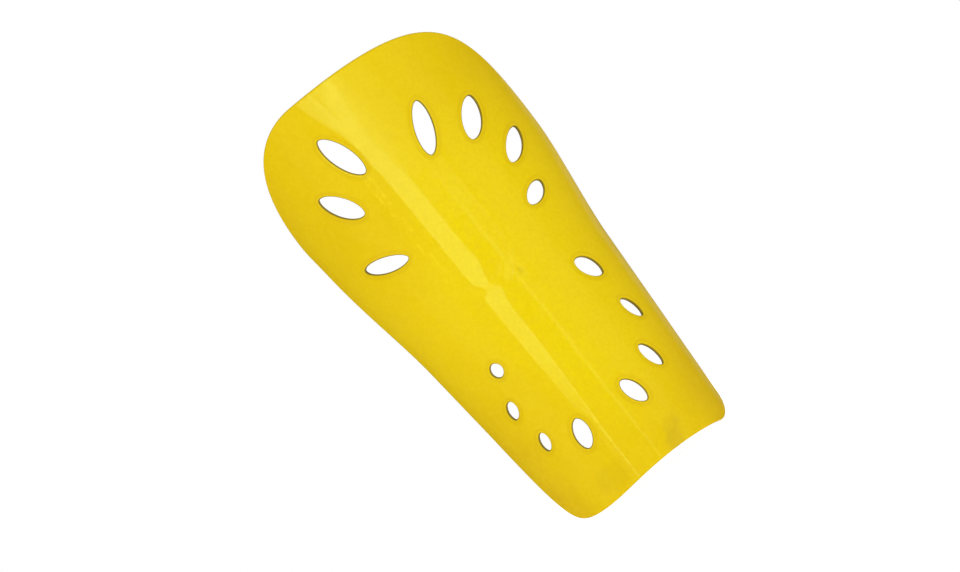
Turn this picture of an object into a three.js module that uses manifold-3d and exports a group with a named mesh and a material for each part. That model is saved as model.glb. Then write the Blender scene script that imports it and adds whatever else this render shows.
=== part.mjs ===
// A slip-in football shin guard, upright as it is worn, in millimetres: +Z up the leg, X across it, the convex
// front facing -Y and the shin on the +Y side. The origin is the middle of the face that lies on the shin.
//
// Three layers are bonded together: a moulded polypropylene shell, an EVA foam pad and the knit that faces it.
// Every layer is a stretch of one surface. A point on it is given by its turn angle round the leg, in degrees
// from the spine, its height above the ankle end, and its depth under the shell's outer face.
import * as THREE from 'three';
import { mergeVertices } from 'three/addons/utils/BufferGeometryUtils.js';
import Module from 'manifold-3d';

// Overall size
const LENGTH = 220;
const ORIGIN_HEIGHT = 110;
const EDGE_ANGLE = 75;

// Radius of the cross-section: a slow taper up from the ankle, then the swell of the calf
const ANKLE_RADIUS = 43.4;
const TAPER = 0.068;
const CALF_SWELL = 4.5;
const CALF_START = 92;
const CALF_FULL = 149;

// The front line bows: both ends lie this far behind the middle
const BOW = 3.5;

// The spine: a flat crest that stands proud between two flat flanks, and dies out under the top edge
const CREST_ANGLE = 4.8;
const FLANK_ANGLE = 14;
const CREST_RISE = 0.2;
const CREST_FADE_START = 160;
const CREST_FADE_END = 195;

// Layers, from the outside in. Bonded faces keep a hairline between them.
const SHELL_THICKNESS = 2;
const FOAM_THICKNESS = 2.6;
const FABRIC_THICKNESS = 0.6;
const BOND_GAP = 0.3;

// The pad stops this far inside the shell's edge, and its windows are this much larger than the vents
const PAD_INSET = 3.5;
const WINDOW_MARGIN = 1.6;
const MOST_WINDOW_STRETCH = 6;
const FABRIC_SET_BACK = 0.5;

// Mesh steps
const SIDE_COLUMNS = 8;
const SHELL_ROWS = 26;
const PAD_ROWS = 16;
const VENT_POINTS = 18;
const WINDOW_POINTS = 12;

// The outline, as turn angle and height: one chain of curves over the top and one under the ankle end.
// The guard is higher on its -X side, and its +X lower corner is the tighter one.
const TOP_EDGE = [
  new THREE.CubicBezierCurve(
    new THREE.Vector2(-EDGE_ANGLE, 166.5),
    new THREE.Vector2(-EDGE_ANGLE, 178.5),
    new THREE.Vector2(-55.5, LENGTH),
    new THREE.Vector2(-23.4, LENGTH),
  ),
  new THREE.CubicBezierCurve(
    new THREE.Vector2(-23.4, LENGTH),
    new THREE.Vector2(33.6, 221),
    new THREE.Vector2(EDGE_ANGLE, 210.7),
    new THREE.Vector2(EDGE_ANGLE, 131.7),
  ),
];
const ANKLE_EDGE = [
  new THREE.CubicBezierCurve(
    new THREE.Vector2(-EDGE_ANGLE, 60),
    new THREE.Vector2(-EDGE_ANGLE, 8),
    new THREE.Vector2(-66.7, 3.3),
    new THREE.Vector2(-45.7, 1.8),
  ),
  new THREE.CubicBezierCurve(
    new THREE.Vector2(-45.7, 1.8),
    new THREE.Vector2(-17.6, -0.2),
    new THREE.Vector2(-1.4, 7.1),
    new THREE.Vector2(55.5, 0.1),
  ),
  new THREE.CubicBezierCurve(
    new THREE.Vector2(55.5, 0.1),
    new THREE.Vector2(64.4, -1),
    new THREE.Vector2(EDGE_ANGLE, 4.5),
    new THREE.Vector2(EDGE_ANGLE, 10),
  ),
];

// How far a vent's cutter reaches to either side of the shell's inner face
const CUT_REACH = 12;

// The vents are almonds. tilt is how far the long axis leans towards +X from the vertical, in degrees.
const ALMOND_POWER = 1.16;
const VENTS = [
  { name: 'calf_left_1', angle: -20.5, height: 189.7, length: 24.5, width: 9.1, tilt: -19 },
  { name: 'calf_left_2', angle: -35.7, height: 172.9, length: 21.7, width: 8.9, tilt: -40 },
  { name: 'calf_left_3', angle: -38.3, height: 141.8, length: 23.4, width: 6.9, tilt: -73 },
  { name: 'calf_right_1', angle: 13.9, height: 177.3, length: 24.2, width: 8.4, tilt: 24 },
  { name: 'calf_right_2', angle: 34.7, height: 168.1, length: 20.6, width: 9.6, tilt: 42 },
  { name: 'calf_right_3', angle: 45.4, height: 147.7, length: 19.6, width: 8.3, tilt: 58 },
  { name: 'calf_right_4', angle: 39.7, height: 125.9, length: 14, width: 7.3, tilt: 71 },
  { name: 'ankle_left_1', angle: -33.9, height: 76.9, length: 6.6, width: 6.1, tilt: 0 },
  { name: 'ankle_left_2', angle: -43.2, height: 59.2, length: 8.4, width: 5.5, tilt: 26 },
  { name: 'ankle_left_3', angle: -40.7, height: 40.2, length: 8.4, width: 5, tilt: 17 },
  { name: 'ankle_left_4', angle: -20, height: 33, length: 13.8, width: 7.4, tilt: 14 },
  { name: 'ankle_right_1', angle: 41.5, height: 86.8, length: 14.7, width: 8.2, tilt: -41 },
  { name: 'ankle_right_2', angle: 49.4, height: 61.7, length: 12.4, width: 6, tilt: -31 },
  { name: 'ankle_right_3', angle: 39.6, height: 40.9, length: 13.3, width: 6.1, tilt: -21 },
  { name: 'ankle_right_4', angle: 17.2, height: 33.6, length: 14, width: 6.9, tilt: -20 },
];

const MATERIALS = {
  polypropylene: new THREE.MeshStandardMaterial({ color: 0xe7c416, roughness: 0.32, metalness: 0 }),
  eva_foam: new THREE.MeshStandardMaterial({ color: 0x26272a, roughness: 0.85, metalness: 0 }),
  tricot: new THREE.MeshStandardMaterial({ color: 0x33353a, roughness: 0.95, metalness: 0 }),
};

const smooth = THREE.MathUtils.smoothstep;
const radians = THREE.MathUtils.degToRad;

function outerRadius(height) {
  return ANKLE_RADIUS + TAPER * height + CALF_SWELL * smooth(height, CALF_START, CALF_FULL);
}

// How far the crest of the spine stands out of the round section.
function crestRise(angle, height) {
  const along = 1 - smooth(height, CREST_FADE_START, CREST_FADE_END);
  const across = 1 - Math.max(0, Math.abs(angle) - CREST_ANGLE) / (FLANK_ANGLE - CREST_ANGLE);
  return CREST_RISE * along * Math.max(0, across);
}

// How far behind the origin's plane the spine lies, at each height.
function frontLine(height) {
  const fromMiddle = (height - ORIGIN_HEIGHT) / ORIGIN_HEIGHT;
  return BOW * fromMiddle * fromMiddle;
}

const PAD_DEPTH = SHELL_THICKNESS + BOND_GAP;
const FABRIC_DEPTH = PAD_DEPTH + FOAM_THICKNESS + BOND_GAP;
const SEAT_DEPTH = FABRIC_DEPTH + FABRIC_THICKNESS;

// The origin lies on the flat inner face of the crest, so the section's axis is measured from that face.
function surfacePoint(angle, height, depth) {
  const turn = radians(angle);
  const radius = outerRadius(height) + crestRise(angle, height) - depth;
  const seatRadius = outerRadius(height) + CREST_RISE - SEAT_DEPTH;
  const axis = frontLine(height) + seatRadius * Math.cos(radians(CREST_ANGLE));
  return new THREE.Vector3(
    radius * Math.sin(turn),
    axis - radius * Math.cos(turn),
    height - ORIGIN_HEIGHT,
  );
}

// The height at which a chain of edge curves crosses a turn angle.
function edgeHeight(chain, angle) {
  const curve = chain.find((part) => angle <= part.v3.x) ?? chain[chain.length - 1];
  let low = 0;
  let high = 1;
  for (let step = 0; step < 30; step += 1) {
    const middle = (low + high) / 2;
    if (curve.getPoint(middle).x < angle) low = middle;
    else high = middle;
  }
  return curve.getPoint((low + high) / 2).y;
}

// Turn angles of the mesh's columns from one edge to the other, closer together where the corners are round.
function columnAngles(edge) {
  const side = [];
  for (let i = 0; i <= SIDE_COLUMNS; i += 1) {
    side.push(FLANK_ANGLE + (edge - FLANK_ANGLE) * Math.sin((Math.PI / 2) * (i / SIDE_COLUMNS)));
  }
  return [...side.map((angle) => -angle).reverse(), -CREST_ANGLE, CREST_ANGLE, ...side];
}

// One layer of the guard as a closed sheet between two depths, set back from the shell's edge by inset.
function layerGeometry(outerDepth, innerDepth, inset, rows) {
  const edge = EDGE_ANGLE - THREE.MathUtils.radToDeg(inset / ANKLE_RADIUS);
  const columns = columnAngles(edge);
  const positions = [];
  [outerDepth, innerDepth].forEach((depth) => {
    columns.forEach((angle) => {
      const shellAngle = (angle * EDGE_ANGLE) / edge;
      const low = edgeHeight(ANKLE_EDGE, shellAngle) + inset;
      const high = edgeHeight(TOP_EDGE, shellAngle) - inset;
      for (let row = 0; row <= rows; row += 1) {
        const height = low + ((high - low) * row) / rows;
        positions.push(...surfacePoint(angle, height, depth).toArray());
      }
    });
  });

  const perColumn = rows + 1;
  const perFace = perColumn * columns.length;
  const faces = [];
  const quad = (a, b, c, d) => faces.push(a, b, c, a, c, d);
  for (let column = 0; column < columns.length - 1; column += 1) {
    for (let row = 0; row < rows; row += 1) {
      const a = column * perColumn + row;
      const b = a + perColumn;
      quad(a, b, b + 1, a + 1);
      quad(perFace + a, perFace + a + 1, perFace + b + 1, perFace + b);
    }
    const foot = column * perColumn;
    const head = foot + rows;
    quad(foot, perFace + foot, perFace + foot + perColumn, foot + perColumn);
    quad(head, head + perColumn, perFace + head + perColumn, perFace + head);
  }
  const last = (columns.length - 1) * perColumn;
  for (let row = 0; row < rows; row += 1) {
    quad(row, row + 1, perFace + row + 1, perFace + row);
    quad(last + row, perFace + last + row, perFace + last + row + 1, last + row + 1);
  }
  const geometry = new THREE.BufferGeometry();
  geometry.setAttribute('position', new THREE.Float32BufferAttribute(positions, 3));
  geometry.setIndex(faces);
  return geometry;
}

// The outline of a vent in millimetres along the surface, grown by margin and drawn out sideways by stretch.
function ventOutline(vent, margin, stretch, points) {
  const lean = -radians(vent.tilt);
  const outline = [];
  for (let i = 0; i < points; i += 1) {
    const t = (2 * Math.PI * i) / points;
    const bulge = Math.sign(Math.sin(t)) * Math.abs(Math.sin(t)) ** ALMOND_POWER;
    const point = new THREE.Vector2(
      (vent.width / 2 + margin) * bulge,
      (vent.length / 2 + margin) * Math.cos(t),
    ).rotateAround(new THREE.Vector2(), lean);
    if (point.x * Math.sign(vent.angle) > 0) point.x += Math.sign(vent.angle) * stretch;
    outline.push(point);
  }
  return new THREE.Shape(THREE.ShapeUtils.isClockWise(outline) ? outline.reverse() : outline);
}

// A vent's cutter: its outline pushed straight through the guard along the surface's outward direction.
function ventCutter(vent, margin, stretch, points) {
  const geometry = new THREE.ExtrudeGeometry(ventOutline(vent, margin, stretch, points), {
    depth: 2 * CUT_REACH,
    bevelEnabled: false,
  });
  geometry.translate(0, 0, -CUT_REACH);
  const turn = radians(vent.angle);
  const along = new THREE.Vector3(Math.cos(turn), Math.sin(turn), 0);
  const up = new THREE.Vector3(0, 0, 1);
  const outward = new THREE.Vector3(Math.sin(turn), -Math.cos(turn), 0);
  const place = new THREE.Matrix4().makeBasis(along, up, outward);
  place.setPosition(surfacePoint(vent.angle, vent.height, SHELL_THICKNESS));
  return geometry.applyMatrix4(place);
}

// How far a pad window is drawn out sideways, so that its cut edge stays out of sight behind the vent.
function windowStretch(vent) {
  return Math.min(MOST_WINDOW_STRETCH, SEAT_DEPTH * Math.tan(radians(Math.abs(vent.angle))));
}

const wasm = await Module();
wasm.setup();

function toSolid(geometry) {
  const bare = geometry.clone();
  bare.deleteAttribute('normal');
  bare.deleteAttribute('uv');
  const merged = mergeVertices(bare);
  return new wasm.Manifold(
    new wasm.Mesh({
      numProp: 3,
      vertProperties: merged.getAttribute('position').array,
      triVerts: new Uint32Array(merged.index.array),
    }),
  );
}

function toGeometry(solid) {
  const mesh = solid.getMesh();
  const geometry = new THREE.BufferGeometry();
  geometry.setAttribute('position', new THREE.BufferAttribute(mesh.vertProperties, 3));
  geometry.setIndex(new THREE.BufferAttribute(mesh.triVerts, 1));
  geometry.computeVertexNormals();
  return geometry;
}

function cutVents(geometry, cutterOf) {
  const cut = VENTS.reduce((solid, vent) => solid.subtract(toSolid(cutterOf(vent))), toSolid(geometry));
  return toGeometry(cut);
}

function makeShell() {
  const sheet = layerGeometry(0, SHELL_THICKNESS, 0, SHELL_ROWS);
  const mesh = new THREE.Mesh(
    cutVents(sheet, (vent) => ventCutter(vent, 0, 0, VENT_POINTS)),
    MATERIALS.polypropylene,
  );
  mesh.name = 'shell';
  return mesh;
}

function makeFoamLiner() {
  const sheet = layerGeometry(PAD_DEPTH, PAD_DEPTH + FOAM_THICKNESS, PAD_INSET, PAD_ROWS);
  const mesh = new THREE.Mesh(
    cutVents(sheet, (vent) => ventCutter(vent, WINDOW_MARGIN, windowStretch(vent), WINDOW_POINTS)),
    MATERIALS.eva_foam,
  );
  mesh.name = 'foam_liner';
  return mesh;
}

function makeLiningFabric() {
  const inset = PAD_INSET + FABRIC_SET_BACK;
  const margin = WINDOW_MARGIN + FABRIC_SET_BACK;
  const sheet = layerGeometry(FABRIC_DEPTH, SEAT_DEPTH, inset, PAD_ROWS);
  const mesh = new THREE.Mesh(
    cutVents(sheet, (vent) => ventCutter(vent, margin, windowStretch(vent), WINDOW_POINTS)),
    MATERIALS.tricot,
  );
  mesh.name = 'lining_fabric';
  return mesh;
}

const shinGuard = new THREE.Group();
shinGuard.name = 'shin_guard';
shinGuard.add(makeShell(), makeFoamLiner(), makeLiningFabric());

export default shinGuard;
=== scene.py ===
"""Looks of a yellow slip-in football shin guard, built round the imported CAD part.

The guard stands upright as it is worn: +Z up the leg, the convex front facing -Y, the shin on the +Y side.
Its shapes are worked out in millimetres, on one surface, and turned into metres as each mesh is made.
A point on that surface has a turn angle round the leg, in degrees from the spine, and a height above the
ankle end.
"""

import math

import bmesh
import bpy
import numpy as np
from mathutils import Matrix, Vector
from mathutils.geometry import delaunay_2d_cdt


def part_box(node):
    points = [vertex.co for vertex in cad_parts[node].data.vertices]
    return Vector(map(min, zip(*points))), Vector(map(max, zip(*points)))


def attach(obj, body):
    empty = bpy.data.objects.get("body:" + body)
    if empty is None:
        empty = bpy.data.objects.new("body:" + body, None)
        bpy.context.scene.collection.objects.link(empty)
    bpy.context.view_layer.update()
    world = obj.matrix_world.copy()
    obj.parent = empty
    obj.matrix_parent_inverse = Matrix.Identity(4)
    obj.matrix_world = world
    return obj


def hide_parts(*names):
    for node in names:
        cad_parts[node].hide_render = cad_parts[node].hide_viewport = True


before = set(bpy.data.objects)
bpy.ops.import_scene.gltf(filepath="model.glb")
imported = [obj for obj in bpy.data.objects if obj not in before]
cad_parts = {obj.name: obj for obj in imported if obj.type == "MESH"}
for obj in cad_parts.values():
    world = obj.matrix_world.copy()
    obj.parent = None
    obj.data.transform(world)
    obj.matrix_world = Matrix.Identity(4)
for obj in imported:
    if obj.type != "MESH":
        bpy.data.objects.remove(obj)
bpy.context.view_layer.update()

# A millimetre in metres, and a centimetre in millimetres
MM = 0.001
CM = 10

# The surface, as in the CAD part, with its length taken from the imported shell: a cone with a swell for the
# calf, bowed so that both ends lie behind the middle
SHELL_LOW, SHELL_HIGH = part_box("shell")
ORIGIN_HEIGHT = 110.0
LENGTH = ORIGIN_HEIGHT + SHELL_HIGH.z / MM
EDGE_ANGLE = 75.0
ANKLE_RADIUS = 43.4
TAPER = 0.068
CALF_SWELL = 4.5
CALF_START, CALF_FULL = 92.0, 149.0
BOW = 3.5

# The half angle and the rise of the CAD part's crest, which fix how far the section's axis is from the origin
CREST_ANGLE = 4.8
CREST_RISE = 0.2

# Depths under the shell's outer face. The bonded layers all but touch.
SHELL_THICKNESS = 2.0
PAD_DEPTHS = (2.08, 5.1)
FABRIC_DEPTHS = (5.16, 5.75)
SEAT_DEPTH = 5.8

# How far the pad and the lining stand back from the shell's edge and from its vents. Their windows are also
# drawn out sideways, by this much at most.
PAD_INSET = 3.5
FABRIC_INSET = 4.0
PAD_MARGIN = 1.6
FABRIC_MARGIN = 2.1
MOST_WINDOW_STRETCH = 6.0

# The pinch across the spine, where the flats break off and start again: a low arch whose top stands on the
# left flank, and then a slant up to the right. The arch falls more steeply on its right.
PINCH_HEIGHT = 106.2
ARCH_TOP = -6.5
ARCH_END = -2.5
ARCH_STEEPNESS = (0.06, 0.144)
ARCH_DROP = 3.4
SLANT_START = 2.5
SLANT_REACH = 9
SLANT_DROP = 2.3
SLANT_RISE = 0.83

# How far each crease between two flats is smoothed over, and what is added to that between these heights
SIDE_CREASE = 0.08
LEFT_CREASE = 0.10
RIGHT_CREASE = 0.30
ROUND_CREASE = 0.03
TOP_SOFTNESS = 0.9
SOFT_HEIGHTS = (160, 200)

# The radius at which a turn angle is laid out in millimetres on the flat drawing sheet
SHEET_RADIUS = 52.0

TOP_EDGE = [
    [(-EDGE_ANGLE, 166.5), (-EDGE_ANGLE, 178.5), (-55.5, LENGTH), (-23.4, LENGTH)],
    [(-23.4, LENGTH), (33.6, 221), (EDGE_ANGLE, 210.7), (EDGE_ANGLE, 131.7)],
]
ANKLE_EDGE = [
    [(EDGE_ANGLE, 10), (EDGE_ANGLE, 4.5), (64.4, -1), (55.5, 0.1)],
    [(55.5, 0.1), (-1.4, 7.1), (-17.6, -0.2), (-45.7, 1.8)],
    [(-45.7, 1.8), (-66.7, 3.3), (-EDGE_ANGLE, 8), (-EDGE_ANGLE, 60)],
]

# Vents: turn angle, height, length, width, and how far the long axis leans towards +X from the vertical. The
# power makes their ends pointed.
ALMOND_POWER = 1.16
VENTS = {
    "calf_left_1": (-20.5, 189.7, 24.5, 9.1, -19),
    "calf_left_2": (-35.7, 172.9, 21.7, 8.9, -40),
    "calf_left_3": (-38.3, 141.8, 23.4, 6.9, -73),
    "calf_right_1": (13.9, 177.3, 24.2, 8.4, 24),
    "calf_right_2": (34.7, 168.1, 20.6, 9.6, 42),
    "calf_right_3": (45.4, 147.7, 19.6, 8.3, 58),
    "calf_right_4": (39.7, 125.9, 14, 7.3, 71),
    "ankle_left_1": (-33.9, 76.9, 6.6, 6.1, 0),
    "ankle_left_2": (-43.2, 59.2, 8.4, 5.5, 26),
    "ankle_left_3": (-40.7, 40.2, 8.4, 5, 17),
    "ankle_left_4": (-20, 33, 13.8, 7.4, 14),
    "ankle_right_1": (41.5, 86.8, 14.7, 8.2, -41),
    "ankle_right_2": (49.4, 61.7, 12.4, 6, -31),
    "ankle_right_3": (39.6, 40.9, 13.3, 6.1, -21),
    "ankle_right_4": (17.2, 33.6, 14, 6.9, -20),
}


# ---------------------------------------------------------------- the surface


def smoothstep(x, low, high):
    """0 up to low, 1 from high, and a smooth rise between them."""
    t = np.clip((x - low) / (high - low), 0, 1)
    return t * t * (3 - 2 * t)


def fall(x, low, high):
    """1 up to low, 0 from high, and a smooth fall between them."""
    return 1 - smoothstep(x, low, high)


def bell(x, width):
    """1 at zero, falling away within about a width on either side."""
    return np.exp(-((x / width) ** 2))


def smooth_min(a, b, k):
    """The lesser of two values, blended where they are less than k apart."""
    h = np.clip(0.5 + 0.5 * (b - a) / k, 0, 1)
    return b * (1 - h) + a * h - k * h * (1 - h)


def outer_radius(height):
    return ANKLE_RADIUS + TAPER * height + CALF_SWELL * smoothstep(height, CALF_START, CALF_FULL)


def arc(angle, height):
    """Millimetres along the outer face from the spine."""
    return np.radians(angle) * outer_radius(height)


def corners_above(height):
    """The flats' corners over the pinch, from -X to +X, in millimetres along the arc from the spine.

    The left flank is drawn in at the pinch and fans out at the top edge, and the crests lean in to the pinch.
    """
    side = -20.0 - 9.0 * smoothstep(height, 185, 215)
    flank = -12.7 + 4.3 * fall(height, 105, 113)
    flank = flank - 1.6 * smoothstep(height, 165, 190) - 9.0 * smoothstep(height, 190, 222)
    crest = -3.8 - 2.0 * fall(height, 105, 122) + 0.8 * bell(height - 120, 5)
    right_crest = 4.6 + 0.5 * bell(height - 118, 5) - 5.1 * fall(height, 105.5, 112.5)
    right_flank = 12.8 - 2.5 * bell(height - 109.5, 2)
    return [side, flank, crest, right_crest, right_flank]


def corners_below(height):
    """The same under the pinch, where the left flank starts wide and narrows towards the ankle."""
    side = -19.0 + 0 * height
    flank = -12.5 + 1.1 * fall(height, 10, 95)
    crest = -2.2 - 2.6 * fall(height, 94, PINCH_HEIGHT) - 3.0 * fall(height, 10, 85)
    right_crest = 4.9 - 1.0 * fall(height, 45, 80)
    right_flank = 12.4 + 0 * height
    return [side, flank, crest, right_crest, right_flank]


# A flat is not followed further round than where it turns away to this cosine.
LEAST_FACING = 0.3


def faceted(angle, height, corners):
    """Radius of a round section cut flat between each two corners, which lie on the round."""
    round_radius = outer_radius(height)
    turn = np.radians(angle)
    turns = [corner / round_radius for corner in corners]
    flats = []
    for start, end in zip(turns, turns[1:]):
        facing = np.maximum(np.cos(turn - (start + end) / 2), LEAST_FACING)
        flats.append(round_radius * np.cos((end - start) / 2) / facing)
    side, left_flank, crest, right_flank = flats
    soft = smoothstep(height, *SOFT_HEIGHTS)
    joined = smooth_min(crest, left_flank, LEFT_CREASE + TOP_SOFTNESS * soft)
    joined = smooth_min(joined, side, SIDE_CREASE)

    # The right crease is sharpest just over the pinch, and softer beside the lower vents.
    crease = RIGHT_CREASE - 0.15 * bell(height - PINCH_HEIGHT - 2, 4) + 0.12 * bell(height - 40, 30)
    joined = smooth_min(joined, right_flank, crease + TOP_SOFTNESS * soft)
    return smooth_min(joined, round_radius, ROUND_CREASE + 0.25 * soft * (angle > 0))


def pinch_line(across):
    """The height of the pinch: an arch over the left flank, then a slant up to the right."""
    reach = across - ARCH_TOP
    arch = np.maximum(-np.where(reach < 0, *ARCH_STEEPNESS) * reach**2, -ARCH_DROP)
    slant = SLANT_RISE * np.clip(across - SLANT_START, 0, SLANT_REACH) - SLANT_DROP
    return PINCH_HEIGHT + np.where(across < ARCH_END, arch, slant)


def section_radius(angle, height):
    """The outer face's distance from the section's axis.

    At the pinch one run of flats gives way to the other, most gently at the top of the arch.
    """
    across = arc(angle, height)
    half = 0.7 + 1.3 * bell(across + 7, 1.8)
    share = smoothstep(height - pinch_line(across), -half, half)
    above = faceted(angle, height, corners_above(height))
    below = faceted(angle, height, corners_below(height))
    return below + (above - below) * share


def flaws(angle, height):
    """How far moulding flaws sink the outer face, in millimetres. The first number of each is its depth."""
    across = arc(angle, height)
    return pinch_flaws(across, height) + top_rays(across, height) + ankle_dips(across, height)


def pinch_flaws(across, height):
    """A dent to the left, two crimps up the slant, a crease over the arch and two wrinkles to the right."""
    rise = height - PINCH_HEIGHT - 0.5 * np.abs(across + 7)
    dent = 0.03 * np.where(rise > 0, bell(rise, 1.6), bell(rise, 0.8)) * bell(across + 11, 3.0)
    right, over = across - 2.9, height - 106.1
    beyond, along = 0.76 * right - 0.65 * over, 0.65 * right + 0.76 * over
    crimps = 0.03 * (bell(beyond + 0.4, 0.45) + bell(beyond - 1.3, 0.45)) * bell(along, 3.0)
    crease = 0.05 * bell(across + 4.0 - 0.3 * (height - 112), 0.7) * bell(height - 112, 5)
    wrinkle = 0.16 * bell(height - 104.3, 1.3) * bell(across - 7.9, 0.9)
    second = 0.07 * bell(height - 101.5 + 0.5 * (across - 7), 0.7) * bell(across - 7, 1.8)
    return dent + crimps + crease + wrinkle + second


def top_rays(across, height):
    """Two grooves that run up to the top edge."""
    up = height - 204
    lean = across + 12.8 + 0.14 * up
    ray = 0.05 * bell(lean, 0.7) * smoothstep(height, 198, 206)
    faint = 0.03 * bell(lean + 3.6 + 0.2 * up, 0.6) * smoothstep(height, 202, 208)
    return ray + faint


def ankle_dips(across, height):
    """A dip on either side of the spine, at the ankle end."""
    right = 0.45 * bell(across - 17 - 0.35 * (height - 10), 4.5) * bell(height - 7, 8)
    left = 0.25 * bell(across + 24, 9) * bell(height - 12, 10)
    return right + left


def place(angle, height, depth):
    """Points on the surface, in millimetres in the part's frame."""
    turn = np.radians(angle)
    radius = section_radius(angle, height) - depth
    bow = BOW * ((height - ORIGIN_HEIGHT) / ORIGIN_HEIGHT) ** 2
    seat_radius = outer_radius(height) + CREST_RISE - SEAT_DEPTH
    axis = bow + seat_radius * math.cos(math.radians(CREST_ANGLE))
    return np.stack([radius * np.sin(turn), axis - radius * np.cos(turn), height - ORIGIN_HEIGHT], axis=1)


# ---------------------------------------------------------------- outlines on the surface

# Points of a curve and of a vent before they are spaced evenly, and the fewest that an outline keeps
CURVE_POINTS = 40
VENT_POINTS = 120
LEAST_POINTS = 12


def bezier(points):
    """Points along a cubic curve, without its end."""
    p = np.array(points, float)
    t = np.linspace(0, 1, CURVE_POINTS, endpoint=False)[:, None]
    return (1 - t) ** 3 * p[0] + 3 * t * (1 - t) ** 2 * p[1] + 3 * t**2 * (1 - t) * p[2] + t**3 * p[3]


def resample(loop, step):
    """The closed polyline with its points an even step apart."""
    closed = np.vstack([loop, loop[:1]])
    run = np.concatenate([[0], np.cumsum(np.hypot(*np.diff(closed, axis=0).T))])
    count = max(LEAST_POINTS, round(run[-1] / step))
    at = np.linspace(0, run[-1], count, endpoint=False)
    return np.stack([np.interp(at, run, closed[:, i]) for i in (0, 1)], axis=1)


def signed_area(loop):
    x, y = loop.T
    return 0.5 * np.sum(x * np.roll(y, -1) - np.roll(x, -1) * y)


def offset(loop, distance):
    """The closed loop moved outwards by a distance, or inwards by a negative one."""
    tangent = np.roll(loop, -1, axis=0) - np.roll(loop, 1, axis=0)
    tangent /= np.hypot(*tangent.T)[:, None]
    normal = np.stack([tangent[:, 1], -tangent[:, 0]], axis=1) * np.sign(signed_area(loop))
    return loop + normal * distance


def arc_to_angle(loop):
    """(millimetres along the arc, height) to (turn angle, height)."""
    return np.stack([np.degrees(loop[:, 0] / outer_radius(loop[:, 1])), loop[:, 1]], axis=1)


def guard_outline(step):
    """The shell's outline in millimetres along the arc, and height."""
    angle, height = np.vstack([bezier(part) for part in TOP_EDGE + ANKLE_EDGE]).T
    return resample(np.stack([arc(angle, height), height], axis=1), step)


def vent_outline(name, margin, stretch, step):
    """A vent's outline, grown by margin and drawn out towards the guard's side by stretch."""
    angle, height, length, width, tilt = VENTS[name]
    t = np.linspace(0, 2 * math.pi, VENT_POINTS, endpoint=False)
    bulge = np.sign(np.sin(t)) * np.abs(np.sin(t)) ** ALMOND_POWER
    u, v = (width / 2 + margin) * bulge, (length / 2 + margin) * np.cos(t)
    lean = math.radians(tilt)
    x, y = u * math.cos(lean) + v * math.sin(lean), v * math.cos(lean) - u * math.sin(lean)
    side = math.copysign(1, angle)
    x = np.where(x * side > 0, x + side * stretch, x)
    centre = math.radians(angle) * outer_radius(height)
    return resample(np.stack([x + centre, y + height], axis=1), step)


def window_stretch(name):
    """How far a window has to reach sideways for the vent to be clear when it is seen from the front."""
    return min(MOST_WINDOW_STRETCH, SEAT_DEPTH * math.tan(math.radians(abs(VENTS[name][0]))))


# ---------------------------------------------------------------- meshing


def inside(points, loop):
    """Which points lie inside a closed loop, by how often a line to +X from each one crosses it."""
    x, y = points[:, :1], points[:, 1:]
    (ax, ay), (bx, by) = loop.T, np.roll(loop, -1, axis=0).T
    spans = (ay > y) != (by > y)
    crossing = ax + (y - ay) * (bx - ax) / np.where(by == ay, 1e-9, by - ay)
    return (spans & (x < crossing)).sum(1) % 2 == 1


def to_sheet(loop):
    """(turn angle, height) to the flat drawing sheet that is triangulated."""
    return np.stack([np.radians(loop[:, 0]) * SHEET_RADIUS, loop[:, 1]], axis=1)


# Shares of the grid's spacing: the height of a row of even triangles, and a point's distance from any ring
ROW_SHARE = 0.87
CLEAR_SHARE = 0.55

# In millimetres: the spacing in a fine zone, the margin round it, and how close two points are taken as one
FINE_SPACING = 0.7
ZONE_MARGIN = 0.4
WELD = 1e-5


def steps(*runs):
    """Positions along a line, in runs of (start, end, step)."""
    return np.concatenate([np.arange(start, end, step) for start, end, step in runs])


def zone_points(columns, rows):
    """Points of a fine zone, whose columns are in millimetres along the arc from the spine."""
    across, height = np.meshgrid(columns, rows)
    return np.stack([np.degrees(across / outer_radius(height)).ravel(), height.ravel()], axis=1)


def in_zone(points, columns, rows):
    """Which points lie in a fine zone or within a small margin of it."""
    height = points[:, 1]
    across = arc(points[:, 0], height)
    wide = (across > columns[0] - ZONE_MARGIN) & (across < columns[-1] + ZONE_MARGIN)
    return wide & (height > rows[0] - ZONE_MARGIN) & (height < rows[-1] + ZONE_MARGIN)


# Fine zones, as columns along the arc and rows up the height: the creases beside the spine, and the pinch
SPINE_ZONE = (
    steps((-17, -14.4, 1.2), (-14.4, -8.6, 0.4), (-8.6, -6.6, 0.8), (-6.6, -1.4, 0.4), (-1.4, 2.4, 0.9),
          (2.4, 8, 0.4), (8, 11, 1), (11, 14.6, 0.4), (14.6, 17, 1.2)),
    np.arange(0, 222, 1.25),
)
PINCH_ZONE = (np.arange(-16, 16, 0.5), np.arange(95, 119, 0.45))


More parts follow.
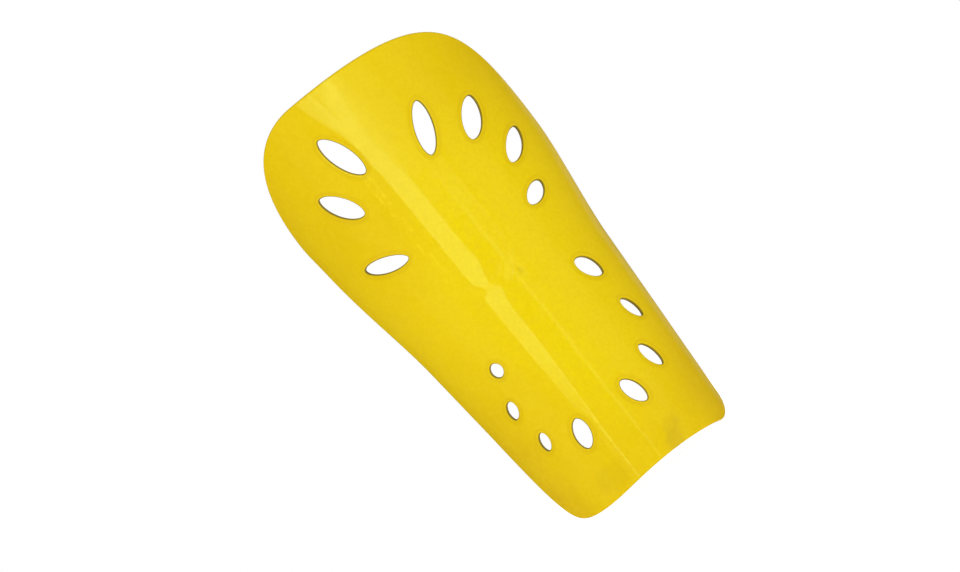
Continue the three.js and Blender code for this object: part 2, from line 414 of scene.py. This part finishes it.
class Layer:
    """A stretch of the surface between an outline and its vents, triangulated with rings along every edge.

    Each point knows its turn angle and height, and how far it is from an edge and from a vent. Over the face,
    clear of the rings, both distances are given as more than the last ring's.
    """

    def __init__(self, outline, vents, rings, spacing, fine=()):
        border = [arc_to_angle(offset(outline, -d)) for d in rings]
        holes = [[arc_to_angle(offset(vent, d)) for d in rings] for vent in vents]
        far = rings[-1] + 2 * spacing
        points, to_edge, to_vent, edges = [], [], [], []

        # The rings. The first one of each group is an edge of the sheet.
        for loops, is_vent in [(border, False)] + [(hole, True) for hole in holes]:
            for distance, loop in zip(rings, loops):
                start = sum(map(len, points))
                if distance == rings[0]:
                    ids = start + np.arange(len(loop))
                    edges += list(zip(ids.tolist(), np.roll(ids, -1).tolist()))
                points.append(loop)
                to_edge.append(np.full(len(loop), distance))
                to_vent.append(np.full(len(loop), distance if is_vent else far))

        # The points between them
        grid = self.grid(border, holes, spacing, fine)
        points.append(grid)
        to_edge.append(np.full(len(grid), far))
        to_vent.append(np.full(len(grid), far))
        self.at = np.vstack(points)
        self.to_edge = np.concatenate(to_edge)
        self.to_vent = np.concatenate(to_vent)

        # The triangles, less those outside the outline or in a vent
        sheet = to_sheet(self.at)
        made = delaunay_2d_cdt([Vector(p) for p in sheet], edges, [], 0, WELD, True)
        faces = np.array(made[2])
        source = np.array([ids[0] for ids in made[3]])
        faces = source[faces]
        centres = sheet[faces].mean(axis=1)
        keep = inside(centres, to_sheet(border[0]))
        for hole in holes:
            keep &= ~inside(centres, to_sheet(hole[0]))
        self.faces = faces[keep]

    @staticmethod
    def grid(border, holes, spacing, fine):
        """Evenly spread points, clear of every ring. Inside a fine zone its own points take their place."""
        (left, low), (right, high) = border[0].min(0), border[0].max(0)
        columns = int(math.radians(right - left) * SHEET_RADIUS / spacing)
        rows = int((high - low) / (spacing * ROW_SHARE))
        angle, height = np.meshgrid(np.linspace(left, right, columns), np.linspace(low, high, rows))
        angle[1::2] += (right - left) / columns / 2
        sets = [(np.stack([angle.ravel(), height.ravel()], axis=1), spacing)]
        for zone in fine:
            sets = [(old[~in_zone(old, *zone)], step) for old, step in sets]
            sets.append((zone_points(*zone), FINE_SPACING))
        loops = to_sheet(np.vstack([border[-1]] + [hole[-1] for hole in holes]))
        kept = []
        for points, step in sets:
            flat = to_sheet(points)
            keep = inside(flat, to_sheet(border[-1]))
            for hole in holes:
                keep &= ~inside(flat, to_sheet(hole[-1]))
            points, flat = points[keep], flat[keep]
            gaps = np.array([((loops - point) ** 2).sum(1).min() for point in flat])
            kept.append(points[gaps > (CLEAR_SHARE * step) ** 2])
        return np.vstack(kept)

    def mesh(self, name, outer_depth, inner_depth):
        """A closed mesh between two depths, each given for every point."""
        angle, height = self.at.T
        outer, inner = place(angle, height, outer_depth), place(angle, height, inner_depth)
        count = len(outer)
        faces = self.faces
        used = np.zeros(count, bool)
        used[np.unique(faces)] = True

        # Each face turned to look outwards
        a, b, c = (outer[faces[:, i]] for i in range(3))
        turn = np.radians(angle[faces].mean(axis=1))
        out = np.stack([np.sin(turn), -np.cos(turn), 0 * turn], axis=1)
        backwards = (np.cross(b - a, c - a) * out).sum(1) < 0
        faces = np.where(backwards[:, None], faces[:, ::-1], faces)

        # A wall wherever a side of a face has no neighbour
        sides = np.concatenate([faces[:, [0, 1]], faces[:, [1, 2]], faces[:, [2, 0]]])
        paired = set(map(tuple, sides.tolist()))
        rim = [(p, q) for p, q in paired if (q, p) not in paired]
        walls = [(q, p, p + count, q + count) for p, q in sorted(rim)]
        every = faces.tolist() + (faces[:, ::-1] + count).tolist() + walls

        data = bpy.data.meshes.new(name)
        data.from_pydata((np.vstack([outer, inner]) * MM).tolist(), [], every)
        data.update()
        self.attributes(data)
        if not used.all():
            drop_unused(data, np.tile(used, 2))
        data.polygons.foreach_set("use_smooth", np.ones(len(data.polygons), bool))
        piece = bpy.data.objects.new(name, data)
        bpy.context.scene.collection.objects.link(piece)
        return piece

    def attributes(self, data):
        """What the materials read: how far an edge and a vent are, and centimetres along the surface."""
        for label, values in (("to_edge", self.to_edge), ("to_vent", self.to_vent)):
            layer = data.attributes.new(label, "FLOAT", "POINT")
            layer.data.foreach_set("value", np.tile(values, 2).astype(np.float32))
        flat = np.tile(to_sheet(self.at) / CM, (2, 1))
        along = np.column_stack([flat, np.zeros(len(flat))])
        layer = data.attributes.new("along", "FLOAT_VECTOR", "POINT")
        layer.data.foreach_set("vector", along.astype(np.float32).ravel())


def drop_unused(data, used):
    """Deletes the points that no face has taken up."""
    form = bmesh.new()
    form.from_mesh(data)
    form.verts.ensure_lookup_table()
    bmesh.ops.delete(form, geom=[v for v in form.verts if not used[v.index]], context="VERTS")
    form.to_mesh(data)
    form.free()


def rounding(distance, radius):
    """How far a rounded edge has fallen away at a distance inside it."""
    back = np.clip(radius - distance, 0, radius)
    return radius - np.sqrt(radius**2 - back**2)


def round_rings(radius, beyond):
    """Distances from an edge that trace a quarter round, and then those beyond it."""
    return [radius * (1 - math.cos(math.radians(a))) for a in (0, 22.5, 45, 67.5, 90)] + list(beyond)


# ---------------------------------------------------------------- pieces

# How far the shell's edges, the pad's and the lining's are rounded
EDGE_ROUND = 0.75
INNER_ROUND = 1.15
PAD_OUTER_ROUND = 0.3
PAD_INNER_ROUND = 0.5
FABRIC_ROUND = 0.3

# How deep each vent's rim is dished, how deep the faint ring round it, and how much the pad's edge is pressed
RIM_DISH = 0.16
RING_DISH = 0.05
PRESSED_EDGE = 0.9

# Spacings of the points: along the outline, along a vent and over the face. The liners' outlines are taken
# from the shell's, which is drawn at a spacing of its own for that.
SHELL_SPACINGS = (1.1, 0.75, 1.5)
LINER_SPACINGS = (1.3, 1.0, 2.2)
DRAWN_SPACING = 1.4


def make_shell():
    along_edge, along_vent, over_face = SHELL_SPACINGS
    rings = round_rings(EDGE_ROUND, (1.1, 1.5, 1.9, 2.3, 2.7, 3.1, 3.8))
    vents = [vent_outline(name, 0, 0, along_vent) for name in VENTS]
    layer = Layer(guard_outline(along_edge), vents, rings, over_face, (SPINE_ZONE, PINCH_ZONE))
    dish = RIM_DISH * fall(layer.to_vent, 0.3, 1.8) + RING_DISH * fall(layer.to_vent, 1.9, 2.9)
    outer = rounding(layer.to_edge, EDGE_ROUND) + dish + flaws(*layer.at.T)
    inner = SHELL_THICKNESS - rounding(layer.to_edge, INNER_ROUND)
    return layer.mesh("moulded_shell", outer, inner)


def liner_layer(inset, margin, rings):
    """A layer that stands back from the shell's edge by the inset and from its vents by the margin."""
    along_edge, along_vent, over_face = LINER_SPACINGS
    windows = [vent_outline(name, margin, window_stretch(name), along_vent) for name in VENTS]
    outline = resample(offset(guard_outline(DRAWN_SPACING), -inset), along_edge)
    return Layer(outline, windows, rings, over_face)


def pressed(distance):
    """How much the pad is pressed thin at a distance from its edge."""
    return PRESSED_EDGE * fall(distance, 0.6, 3.2)


def make_foam():
    layer = liner_layer(PAD_INSET, PAD_MARGIN, round_rings(PAD_INNER_ROUND, (1.0, 1.7, 2.5)))
    outer = PAD_DEPTHS[0] + rounding(layer.to_edge, PAD_OUTER_ROUND)
    inner = PAD_DEPTHS[1] - rounding(layer.to_edge, PAD_INNER_ROUND) - pressed(layer.to_edge)
    return layer.mesh("foam_pad", outer, inner)


def make_fabric():
    layer = liner_layer(FABRIC_INSET, FABRIC_MARGIN, (0, 0.1, 0.3, 0.8, 1.4, 2.0, 2.8))
    sunk = pressed(layer.to_edge + FABRIC_INSET - PAD_INSET)
    outer = FABRIC_DEPTHS[0] - sunk
    inner = FABRIC_DEPTHS[1] - sunk - rounding(layer.to_edge, FABRIC_ROUND)
    return layer.mesh("mesh_lining", outer, inner)


# ---------------------------------------------------------------- materials


class Nodes:
    """A short way to write a node tree."""

    def __init__(self, name):
        self.material = bpy.data.materials.new(name)
        self.material.use_nodes = True
        self.tree = self.material.node_tree
        self.shader = self.tree.nodes["Principled BSDF"]

    def add(self, kind, inputs=None, **settings):
        """A new node, with each input set to a value or linked to another node's output."""
        node = self.tree.nodes.new(kind)
        for key, value in settings.items():
            setattr(node, key, value)
        for key, value in (inputs or {}).items():
            self.set(node.inputs[key], value)
        return node

    def set(self, socket, value):
        if isinstance(value, bpy.types.NodeSocket):
            self.tree.links.new(value, socket)
        else:
            socket.default_value = value

    def math(self, operation, a, b=0.0):
        return self.add("ShaderNodeMath", {0: a, 1: b}, operation=operation).outputs[0]

    def ramp(self, value, low, high, to_low=0.0, to_high=1.0):
        """A smooth change from to_low, where the value is low, to to_high, where it is high."""
        inputs = {"Value": value, "From Min": low, "From Max": high, "To Min": to_low, "To Max": to_high}
        return self.add("ShaderNodeMapRange", inputs, interpolation_type="SMOOTHSTEP").outputs["Result"]

    def ramp_line(self, value, low, high):
        """A straight change from 0 to 1."""
        inputs = {"Value": value, "From Min": low, "From Max": high}
        return self.add("ShaderNodeMapRange", inputs).outputs["Result"]

    def stops(self, value, colours):
        """A run of colours, each at its position from 0 to 1."""
        node = self.add("ShaderNodeValToRGB", {"Fac": value})
        ramp = node.color_ramp
        for _ in colours[2:]:
            ramp.elements.new(0.5)
        for element, (position, colour) in zip(ramp.elements, colours):
            element.position, element.color = position, colour
        return node.outputs["Color"]

    def mix(self, factor, a, b):
        """One colour mixed into another. The node's inputs 6 and 7 and its output 2 are its colours."""
        node = self.add("ShaderNodeMix", {"Factor": factor}, data_type="RGBA")
        self.set(node.inputs[6], a)
        self.set(node.inputs[7], b)
        return node.outputs[2]

    def noise(self, vector, scale, detail=2.0, roughness=0.5):
        inputs = {"Vector": vector, "Scale": scale, "Detail": detail, "Roughness": roughness}
        return self.add("ShaderNodeTexNoise", inputs).outputs["Fac"]

    def blob(self, side, up, centre, size, slant, where):
        """A soft ragged oval on the front, 1 in its middle. Slant leans it towards +X as it goes up."""
        rise = self.math("SUBTRACT", up, centre[1])
        shift = self.math("SUBTRACT", side, centre[0])
        shift = self.math("SUBTRACT", shift, self.math("MULTIPLY", rise, slant))
        wide, tall = self.share_squared(shift, size[0]), self.share_squared(rise, size[1])
        ragged = self.ramp(self.noise(where, 260, 3), 0.3, 0.7, -0.3, 0.3)
        return self.ramp(self.math("ADD", self.math("ADD", wide, tall), ragged), 0.0, 1.3, 1.0, 0.0)

    def share_squared(self, value, whole):
        """The square of a value's share of a whole."""
        return self.math("POWER", self.math("ABSOLUTE", self.math("DIVIDE", value, whole)), 2.0)

    def attribute(self, name, output):
        return self.add("ShaderNodeAttribute", attribute_name=name).outputs[output]

    def position(self):
        return self.add("ShaderNodeTexCoord").outputs["Object"]

    def bump(self, height, distance, normal=None):
        """A bump as high as the distance in metres, laid over another where one is given."""
        inputs = {"Height": height, "Distance": distance, "Strength": 1.0}
        if normal is not None:
            inputs["Normal"] = normal
        return self.add("ShaderNodeBump", inputs).outputs["Normal"]

    def finish(self, **inputs):
        """Sets the shader's inputs, named with _ for a space."""
        for key, value in inputs.items():
            self.set(self.shader.inputs[key.replace("_", " ")], value)
        return self.material


# The plastic's yellow from the guard's -X edge to its +X edge, with painted light in it: greener over the
# spine,
# where the front light falls fullest, warmer at the sides as painted shade, and least blue over the crest as
# a painted darker reflection
YELLOWS_WITH_PAINTED_LIGHT = [
    (0.0, (0.778, 0.542, 0.0050, 1)),
    (0.28, (0.778, 0.568, 0.0040, 1)),
    (0.455, (0.778, 0.592, 0.0034, 1)),
    (0.475, (0.778, 0.594, 0.0014, 1)),
    (0.53, (0.778, 0.594, 0.0014, 1)),
    (0.555, (0.778, 0.592, 0.0036, 1)),
    (0.75, (0.778, 0.574, 0.0042, 1)),
    (1.0, (0.778, 0.530, 0.0060, 1)),
]

# Painted shade in dull patches: the centre and half sizes on the front in metres, the slant, the strength and
# the colour. Two lie in the dips near the ankle end, and a small one in the wrinkle beside the pinch.
PAINTED_SHADE_PATCHES = [
    ((0.0143, -0.1030), (0.0052, 0.0100), 0.5, 0.25, (0.42, 0.27, 0.026, 1)),
    ((-0.0165, -0.100), (0.0095, 0.0075), 0.0, 0.16, (0.46, 0.29, 0.008, 1)),
    ((0.0080, -0.0060), (0.0012, 0.0020), -0.3, 0.18, (0.40, 0.25, 0.020, 1)),
]

# Pale draw lines to the left of the spine: where each one is, and the half width of both, in metres
DRAW_LINES = (-0.0197, -0.0176)
DRAW_LINE_HALF = 0.0011


def plastic():
    """Glossy yellow. Side and up are in metres, across in centimetres along the surface."""
    n = Nodes("yellow_polypropylene")
    where = n.position()
    split = n.add("ShaderNodeSeparateXYZ", {0: where})
    side, up = split.outputs[0], split.outputs[2]
    across = n.add("ShaderNodeSeparateXYZ", {0: n.attribute("along", "Vector")}).outputs[0]
    to_vent = n.attribute("to_vent", "Fac")
    # Painted light and shade across the guard, from the yellow ramp above
    yellow = n.stops(n.ramp_line(across, -7, 7), YELLOWS_WITH_PAINTED_LIGHT)

    # Painted shade: deeper towards both ends, from nearer the middle on the left, and browner at the ankle's
    # corners
    from_middle = n.math("ABSOLUTE", n.math("ADD", up, 0.010))
    from_middle = n.math("SUBTRACT", from_middle, n.ramp(across, -3.0, 0.0, 0.0, 0.042))
    yellow = n.mix(n.ramp(from_middle, 0.0, 0.052, 0.0, 0.32), yellow, (0.64, 0.39, 0.004, 1))
    low = n.ramp(up, -0.100, -0.030, 0.40, 0.0)
    outer = n.ramp(n.math("ABSOLUTE", across), 3.0, 6.2)
    yellow = n.mix(n.math("MULTIPLY", low, outer), yellow, (0.60, 0.35, 0.014, 1))

    # Clouds, then a fine mottle of dark and pale
    yellow = n.mix(n.ramp(n.noise(where, 55, 3), 0.35, 0.65, 0.0, 0.35), yellow, (0.77, 0.56, 0.0045, 1))
    dark = n.ramp(n.noise(where, 620, 3, 0.6), 0.36, 0.64, 0.0, 0.26)
    yellow = n.mix(dark, yellow, (0.66, 0.44, 0.0010, 1))
    pale = n.ramp(n.noise(where, 330, 3, 0.6), 0.44, 0.66, 0.0, 0.30)
    yellow = n.mix(pale, yellow, (0.78, 0.56, 0.0110, 1))

    # Painted shade where the ankle dips and the pinch's wrinkle sink the face
    for centre, size, slant, strength, colour in PAINTED_SHADE_PATCHES:
        shade_patch = n.blob(side, up, centre, size, slant, where)
        yellow = n.mix(n.math("MULTIPLY", shade_patch, strength), yellow, colour)

    # The draw lines are beaded, and run from over the pinch to the topmost vent.
    beads = n.ramp(n.noise(where, 380, 3), 0.44, 0.60, 0.0, 0.75)
    span = n.math("MULTIPLY", n.ramp(up, 0.002, 0.016), n.ramp(up, 0.068, 0.084, 1.0, 0.0))
    for at in DRAW_LINES:
        line = n.ramp(n.math("ABSOLUTE", n.math("SUBTRACT", side, at)), 0.0, DRAW_LINE_HALF, 1.0, 0.0)
        line = n.math("MULTIPLY", n.math("MULTIPLY", line, span), beads)
        yellow = n.mix(line, yellow, (0.82, 0.62, 0.0140, 1))

    # A faint ring round each vent, part pressed mark and part painted shade over its shallow dish, a dark
    # line on its cut rim, and a paler outer edge
    ring = n.math("MULTIPLY", n.ramp(to_vent, 0.6, 1.4), n.ramp(to_vent, 1.9, 3.1, 0.30, 0.0))
    yellow = n.mix(ring, yellow, (0.60, 0.38, 0.004, 1))
    # The dark line on the rim's rounding is painted shade, where the vent's wall falls into shadow
    rim = n.ramp(to_vent, 0.16, 0.62, 0.88, 0.0)
    colour = n.mix(rim, yellow, (0.085, 0.048, 0.0015, 1))
    # The paler, bluer outer edge is part stress whitening and part painted grazing reflection and shade on
    # the rounding
    edge = n.ramp(n.attribute("to_edge", "Fac"), 0.1, 0.8, 0.25, 0.0)
    colour = n.mix(edge, colour, (0.60, 0.43, 0.06, 1))

    # A fine grain and a slight ripple, with patches that are a little less glossy
    normal = n.bump(n.noise(where, 900, 2), 0.00004)
    normal = n.bump(n.noise(where, 120, 2), 0.00013, normal)
    rough = n.ramp(n.noise(where, 160, 3), 0.3, 0.7, 0.135, 0.18)
    n.shader.inputs["Specular Tint"].default_value = (0.65, 1.0, 0.33, 1)
    return n.finish(Base_Color=colour, Roughness=rough, Normal=normal, IOR=1.49)


def foam():
    """Near-black closed-cell foam."""
    n = Nodes("eva_foam")
    where = n.position()
    cells = n.add("ShaderNodeTexVoronoi", {"Vector": where, "Scale": 2600.0}).outputs["Distance"]
    grain = n.noise(where, 700, 3)
    colour = n.mix(grain, (0.012, 0.012, 0.013, 1), (0.035, 0.035, 0.037, 1))
    normal = n.bump(cells, 0.00012)
    return n.finish(Base_Color=colour, Roughness=0.82, Normal=normal)


# The knit, in centimetres: from one eyelet to the next, and from one rib and one course to the next
EYELET_PITCH = 0.24
RIB_PITCH = 0.06
COURSE_PITCH = 0.08


def mesh_fabric():
    """A knitted sports mesh: small eyelets in a honeycomb, with the ribs of the knit between them."""
    n = Nodes("knitted_mesh")
    split = n.add("ShaderNodeSeparateXYZ", {0: n.attribute("along", "Vector")})
    across, up = split.outputs[0], split.outputs[1]
    row_pitch = EYELET_PITCH * 0.866
    waves = []
    for turn in (0, 60, 120):
        c, s = math.cos(math.radians(turn)), math.sin(math.radians(turn))
        run = n.math("ADD", n.math("MULTIPLY", across, c), n.math("MULTIPLY", up, s))
        waves.append(n.math("COSINE", n.math("MULTIPLY", run, 2 * math.pi / row_pitch)))
    lattice = n.math("ADD", n.math("ADD", waves[0], waves[1]), waves[2])
    eyelet = n.ramp(lattice, 1.0, 2.2)
    ribs = n.math("SINE", n.math("MULTIPLY", across, 2 * math.pi / RIB_PITCH))
    courses = n.math("SINE", n.math("MULTIPLY", up, 2 * math.pi / COURSE_PITCH))
    yarn = n.math("MULTIPLY", n.math("ADD", ribs, courses), 0.25)
    fuzz = n.math("MULTIPLY", n.noise(n.position(), 1500, 3), 0.6)
    height = n.math("ADD", n.math("SUBTRACT", yarn, n.math("MULTIPLY", eyelet, 2.0)), fuzz)
    base = n.mix(n.noise(n.position(), 60, 3), (0.060, 0.063, 0.070, 1), (0.085, 0.088, 0.096, 1))
    # Eyelets show the black foam behind, painted darker still as shade in the holes
    colour = n.mix(eyelet, base, (0.006, 0.006, 0.007, 1))
    # Painted shade in the knit's hollows, where the yarn lies low
    colour = n.mix(n.ramp(yarn, -0.5, 0.5, 0.35, 0.0), colour, (0.02, 0.02, 0.022, 1))
    normal = n.bump(height, 0.00016)
    return n.finish(Base_Color=colour, Roughness=0.9, Normal=normal, Sheen_Weight=0.25, Sheen_Roughness=0.5)


def floor_material():
    """Near white, and lit from within so that the floor is as white as the background."""
    n = Nodes("pale_floor")
    grain = n.noise(n.position(), 8, 2)
    colour = n.mix(grain, (0.90, 0.90, 0.90, 1), (0.93, 0.93, 0.93, 1))
    n.shader.inputs["Emission Color"].default_value = (1, 1, 1, 1)
    return n.finish(Base_Color=colour, Roughness=0.9, Emission_Strength=0.56)


# ---------------------------------------------------------------- studio

# The floor, just clear of the shell
FLOOR_SIZE = 16
FLOOR_GAP = 0.0002

# The world's brightness as it lights the guard, and as the camera sees it
WORLD_LIGHT = 0.555
WORLD_SEEN = 1.0

# The top of the spine mirrors a pale patch that fades out to the right. It comes from panels on top of each
# other, which start at one azimuth and reach further and further round from it, in degrees.
TOP_REACHES = (14, 20, 28, 40)
TOP_START = -13
TOP_DISTANCE = 1.5


def make_floor():
    bpy.ops.mesh.primitive_plane_add(size=FLOOR_SIZE, location=(0, 0, SHELL_LOW.z - FLOOR_GAP))
    floor = bpy.context.object
    floor.name = "floor"
    floor.data.materials.append(floor_material())
    floor.visible_glossy = False


def from_front(azimuth, elevation, distance):
    """A place seen from the guard at an angle from its front, in degrees."""
    a, e = math.radians(azimuth), math.radians(elevation)
    return distance * Vector((math.sin(a) * math.cos(e), -math.cos(a) * math.cos(e), math.sin(e)))


def panel(name, azimuth, elevation, distance, width, height, radiance, glossy=True):
    """A soft box that faces the guard. The plastic mirrors it where glossy is true."""
    data = bpy.data.lights.new(name, "AREA")
    data.shape = "RECTANGLE"
    data.size, data.size_y = width, height
    data.energy = radiance * width * height * math.pi
    lamp = bpy.data.objects.new(name, data)
    bpy.context.scene.collection.objects.link(lamp)
    lamp.location = from_front(azimuth, elevation, distance)
    lamp.rotation_euler = lamp.location.to_track_quat("Z", "Y").to_euler()
    lamp.visible_camera = False
    lamp.visible_glossy = glossy


def light_world():
    """An even pale light, which nothing mirrors, with a white background."""
    world = bpy.data.worlds.new("pale_studio")
    bpy.context.scene.world = world
    world.use_nodes = True
    tree = world.node_tree
    background = tree.nodes["Background"]
    background.inputs["Color"].default_value = (1, 1, 1, 1)
    seen = tree.nodes.new("ShaderNodeLightPath").outputs["Is Camera Ray"]
    strength = tree.nodes.new("ShaderNodeMapRange")
    strength.inputs["To Min"].default_value = WORLD_LIGHT
    strength.inputs["To Max"].default_value = WORLD_SEEN
    tree.links.new(seen, strength.inputs["Value"])
    tree.links.new(strength.outputs["Result"], background.inputs["Strength"])
    world.cycles_visibility.glossy = False


def light_studio():
    # Name, azimuth and elevation in degrees, distance, width and height in metres, and radiance
    panel("spine_strip", -15.5, 12, 1.3, 0.18, 1.25, 3.2)
    panel("crease_strip", 17, -6, 1.3, 0.14, 0.56, 1.9)
    panel("right_fill", 48, 12, 1.5, 0.9, 1.4, 0.34)
    panel("left_fill", -60, 12, 1.5, 0.9, 1.4, 0.25)
    panel("fan_panel", -24, 13, 1.5, 0.34, 0.24, 1.9)
    for reach in TOP_REACHES:
        width = 2 * TOP_DISTANCE * math.tan(math.radians(reach / 2))
        panel(f"top_panel_{reach}", TOP_START + reach / 2, 12, TOP_DISTANCE, width, 0.33, 0.46)
    panel("key", -12, 25, 2.0, 1.2, 1.0, 1.1, glossy=False)
    panel("left_edge", -138, 8, 1.5, 0.6, 1.2, 0.9, glossy=False)
    panel("back_fill", 180, 25, 1.6, 1.2, 1.0, 1.2)
    panel("right_rim", 145, 8, 1.6, 0.5, 1.2, 0.25)


# The camera: its angle from the front and about its line of sight in degrees, and its distance in metres
CAMERA_YAW = 2.8
CAMERA_ROLL = 39
CAMERA_DISTANCE = 8.0
SENSOR_WIDTH = 36

# What it looks at, how far to the left of that it aims, and how much it sees from side to side at a little
# depth behind it
LOOKED_AT = (0, -0.0057, -0.0004)
AIM_LEFT = 0.0100
SEEN_WIDTH = 0.4113
SEEN_DEPTH = 0.02


def make_camera():
    """The guard seen almost square on, from a little to its left."""
    yaw, roll = math.radians(CAMERA_YAW), math.radians(CAMERA_ROLL)
    forward = Vector((math.sin(yaw), math.cos(yaw), 0))
    right = Vector((math.cos(yaw), -math.sin(yaw), 0))
    up = Vector((0, 0, 1))
    target = Vector(LOOKED_AT) - AIM_LEFT * right
    data = bpy.data.cameras.new("camera")
    data.sensor_width = SENSOR_WIDTH
    data.lens = SENSOR_WIDTH * (CAMERA_DISTANCE + SEEN_DEPTH) / SEEN_WIDTH
    camera = bpy.data.objects.new("camera", data)
    bpy.context.scene.collection.objects.link(camera)
    turned_right = math.cos(roll) * right - math.sin(roll) * up
    turned_up = math.cos(roll) * up + math.sin(roll) * right
    axes = Matrix((turned_right, turned_up, -forward)).transposed().to_4x4()
    camera.matrix_world = Matrix.Translation(target - CAMERA_DISTANCE * forward) @ axes
    bpy.context.scene.camera = camera


make_camera()

shell = make_shell()
shell.data.materials.append(plastic())
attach(shell, "root")
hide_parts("shell")

pad = make_foam()
pad.data.materials.append(foam())
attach(pad, "root")
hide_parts("foam_liner")

lining = make_fabric()
lining.data.materials.append(mesh_fabric())
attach(lining, "root")
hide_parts("lining_fabric")

make_floor()
light_world()
light_studio()
bpy.context.scene.view_settings.view_transform = "Standard"
bpy.context.scene.view_settings.look = "None"
